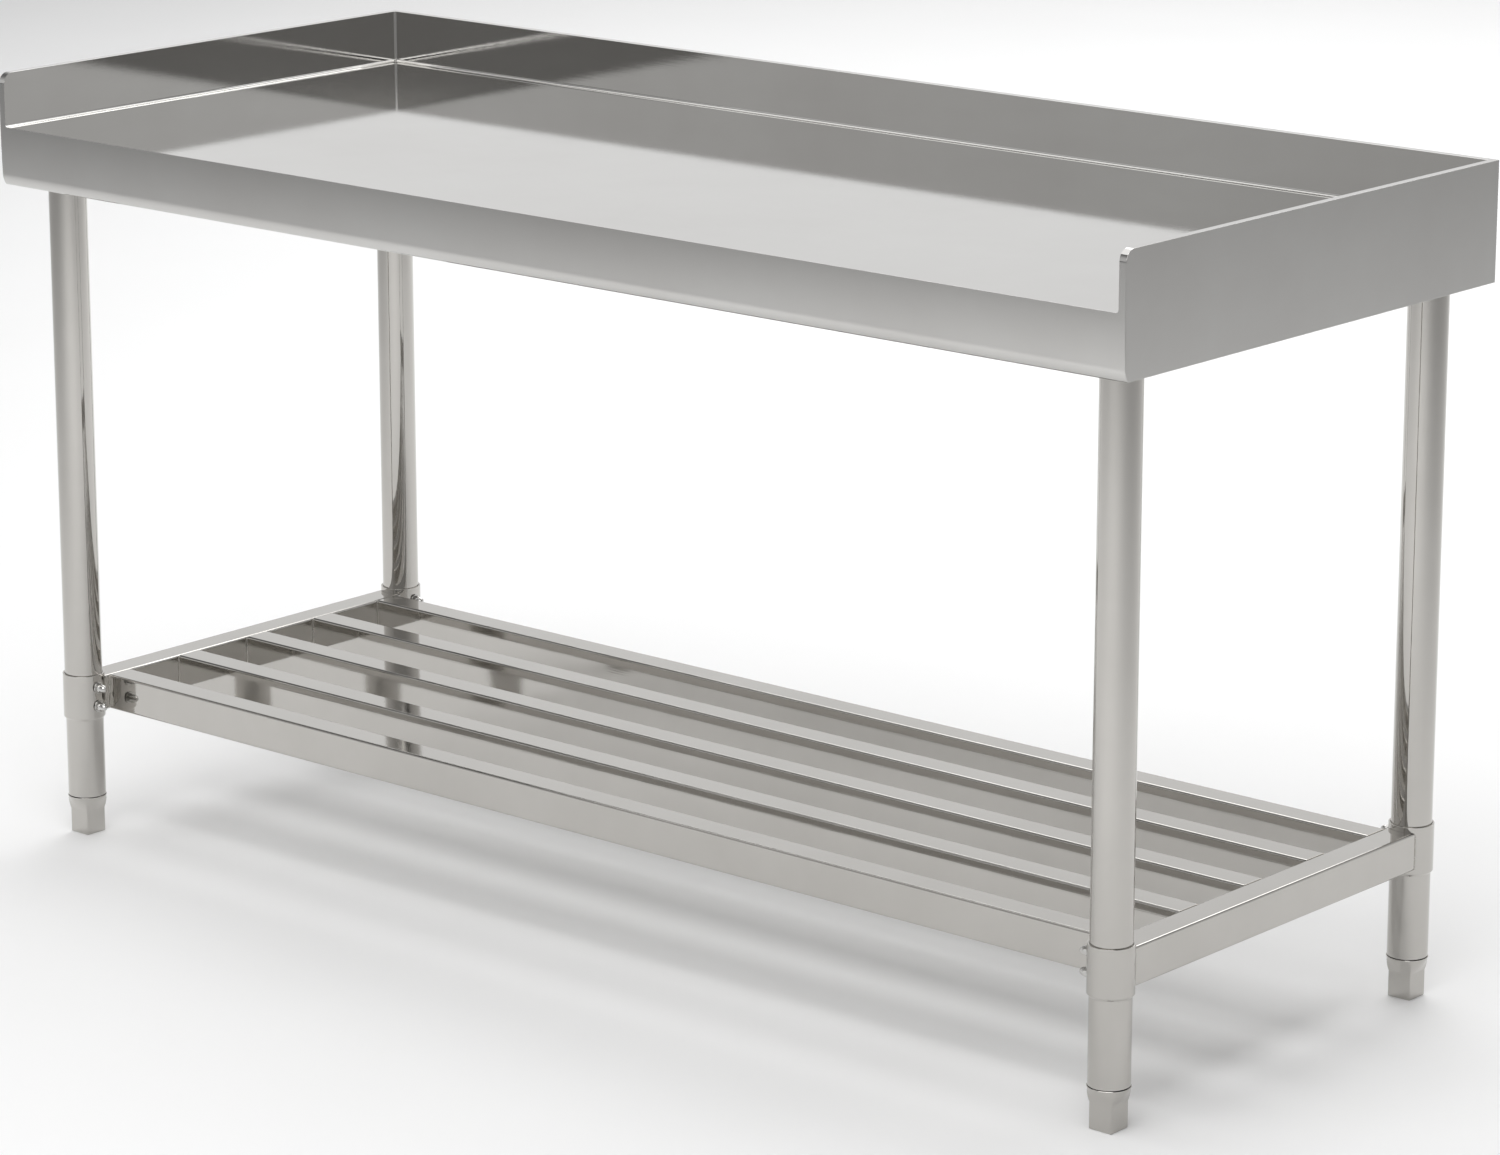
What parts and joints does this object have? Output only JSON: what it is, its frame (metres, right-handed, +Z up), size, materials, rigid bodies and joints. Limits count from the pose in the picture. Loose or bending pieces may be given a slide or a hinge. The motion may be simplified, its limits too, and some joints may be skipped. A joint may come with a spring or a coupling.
{
  "type": "stainless work table",
  "caption": "Stainless kitchen work table: tray-shaped top with splash on both ends and rear, round legs with screw-in levelling feet, and a slatted undershelf clamped to the legs.",
  "frame": {"origin": "centre of the footprint on the floor, under the middle of the worktop", "axes": "+X along the width to the right seen from the front, +Y to the rear, +Z up"},
  "size_m": [1.5, 0.6, 0.85],
  "materials": {
    "stainless_sheet": "polished stainless sheet, fine grain",
    "stainless_tube": "mirror-polished stainless tube",
    "fitting_steel": "satin stainless",
    "fastener_steel": "bright stainless screws and nuts",
    "board": "grey-faced chipboard",
    "insert_plastic": "moulded black nylon"
  },
  "bodies": {
    "table_frame": {"worktop": "stainless_sheet", "backing_board": "board", "cross_channel_left": "stainless_sheet", "cross_channel_middle": "stainless_sheet", "cross_channel_right": "stainless_sheet", "leg_socket_front_left": "fitting_steel", "socket_screw_front_left": "fastener_steel", "leg_front_left": "stainless_tube", "leg_insert_front_left": "insert_plastic", "leg_socket_front_right": "fitting_steel", "socket_screw_front_right": "fastener_steel", "leg_front_right": "stainless_tube", "leg_insert_front_right": "insert_plastic", "leg_socket_rear_left": "fitting_steel", "socket_screw_rear_left": "fastener_steel", "leg_rear_left": "stainless_tube", "leg_insert_rear_left": "insert_plastic", "leg_socket_rear_right": "fitting_steel", "socket_screw_rear_right": "fastener_steel", "leg_rear_right": "stainless_tube", "leg_insert_rear_right": "insert_plastic"},
    "undershelf": {"shelf_front_rail": "stainless_tube", "shelf_rear_rail": "stainless_tube", "shelf_slat_1": "stainless_tube", "shelf_slat_2": "stainless_tube", "shelf_slat_3": "stainless_tube", "shelf_side_rail_left": "stainless_tube", "shelf_side_rail_right": "stainless_tube", "clamp_collar_front_left": "stainless_tube", "clamp_screw_front_left_lower": "fastener_steel", "cap_nut_front_left_lower": "fastener_steel", "clamp_screw_front_left_upper": "fastener_steel", "cap_nut_front_left_upper": "fastener_steel", "clamp_collar_front_right": "stainless_tube", "clamp_screw_front_right_lower": "fastener_steel", "cap_nut_front_right_lower": "fastener_steel", "clamp_screw_front_right_upper": "fastener_steel", "cap_nut_front_right_upper": "fastener_steel", "clamp_collar_rear_left": "stainless_tube", "clamp_screw_rear_left_lower": "fastener_steel", "cap_nut_rear_left_lower": "fastener_steel", "clamp_screw_rear_left_upper": "fastener_steel", "cap_nut_rear_left_upper": "fastener_steel", "clamp_collar_rear_right": "stainless_tube", "clamp_screw_rear_right_lower": "fastener_steel", "cap_nut_rear_right_lower": "fastener_steel", "clamp_screw_rear_right_upper": "fastener_steel", "cap_nut_rear_right_upper": "fastener_steel"},
    "stem_front_left": {"foot_stem_front_left": "fastener_steel"},
    "foot_front_left": {"foot_cup_front_left": "fitting_steel"},
    "stem_front_right": {"foot_stem_front_right": "fastener_steel"},
    "foot_front_right": {"foot_cup_front_right": "fitting_steel"},
    "stem_rear_left": {"foot_stem_rear_left": "fastener_steel"},
    "foot_rear_left": {"foot_cup_rear_left": "fitting_steel"},
    "stem_rear_right": {"foot_stem_rear_right": "fastener_steel"},
    "foot_rear_right": {"foot_cup_rear_right": "fitting_steel"}
  },
  "joints": [
    {"name": "shelf_height", "type": "slide", "parent": "table_frame", "child": "undershelf", "axis": [0, 0, 1], "range_m": [-0.07, 0.3]},
    {"name": "foot_drop_front_left", "type": "slide", "parent": "table_frame", "child": "stem_front_left", "axis": [0, 0, -1], "range_m": [0, 0.021]},
    {"name": "foot_turn_front_left", "type": "hinge", "parent": "stem_front_left", "child": "foot_front_left", "pos_m": [-0.7069, -0.246, 0.02], "axis": [0, 0, -1], "range_deg": [0, 5040]},
    {"name": "foot_drop_front_right", "type": "slide", "parent": "table_frame", "child": "stem_front_right", "axis": [0, 0, -1], "range_m": [0, 0.021]},
    {"name": "foot_turn_front_right", "type": "hinge", "parent": "stem_front_right", "child": "foot_front_right", "pos_m": [0.7069, -0.246, 0.02], "axis": [0, 0, -1], "range_deg": [0, 5040]},
    {"name": "foot_drop_rear_left", "type": "slide", "parent": "table_frame", "child": "stem_rear_left", "axis": [0, 0, -1], "range_m": [0, 0.021]},
    {"name": "foot_turn_rear_left", "type": "hinge", "parent": "stem_rear_left", "child": "foot_rear_left", "pos_m": [-0.7069, 0.25, 0.02], "axis": [0, 0, -1], "range_deg": [0, 5040]},
    {"name": "foot_drop_rear_right", "type": "slide", "parent": "table_frame", "child": "stem_rear_right", "axis": [0, 0, -1], "range_m": [0, 0.021]},
    {"name": "foot_turn_rear_right", "type": "hinge", "parent": "stem_rear_right", "child": "foot_rear_right", "pos_m": [0.7069, 0.25, 0.02], "axis": [0, 0, -1], "range_deg": [0, 5040]}
  ],
  "couplings": [
    {"joint": "foot_turn_front_left", "follows": "foot_drop_front_left", "rad_per_m": 4188.8},
    {"joint": "foot_turn_front_right", "follows": "foot_drop_front_right", "rad_per_m": 4188.8},
    {"joint": "foot_turn_rear_left", "follows": "foot_drop_rear_left", "rad_per_m": 4188.8},
    {"joint": "foot_turn_rear_right", "follows": "foot_drop_rear_right", "rad_per_m": 4188.8}
  ]
}
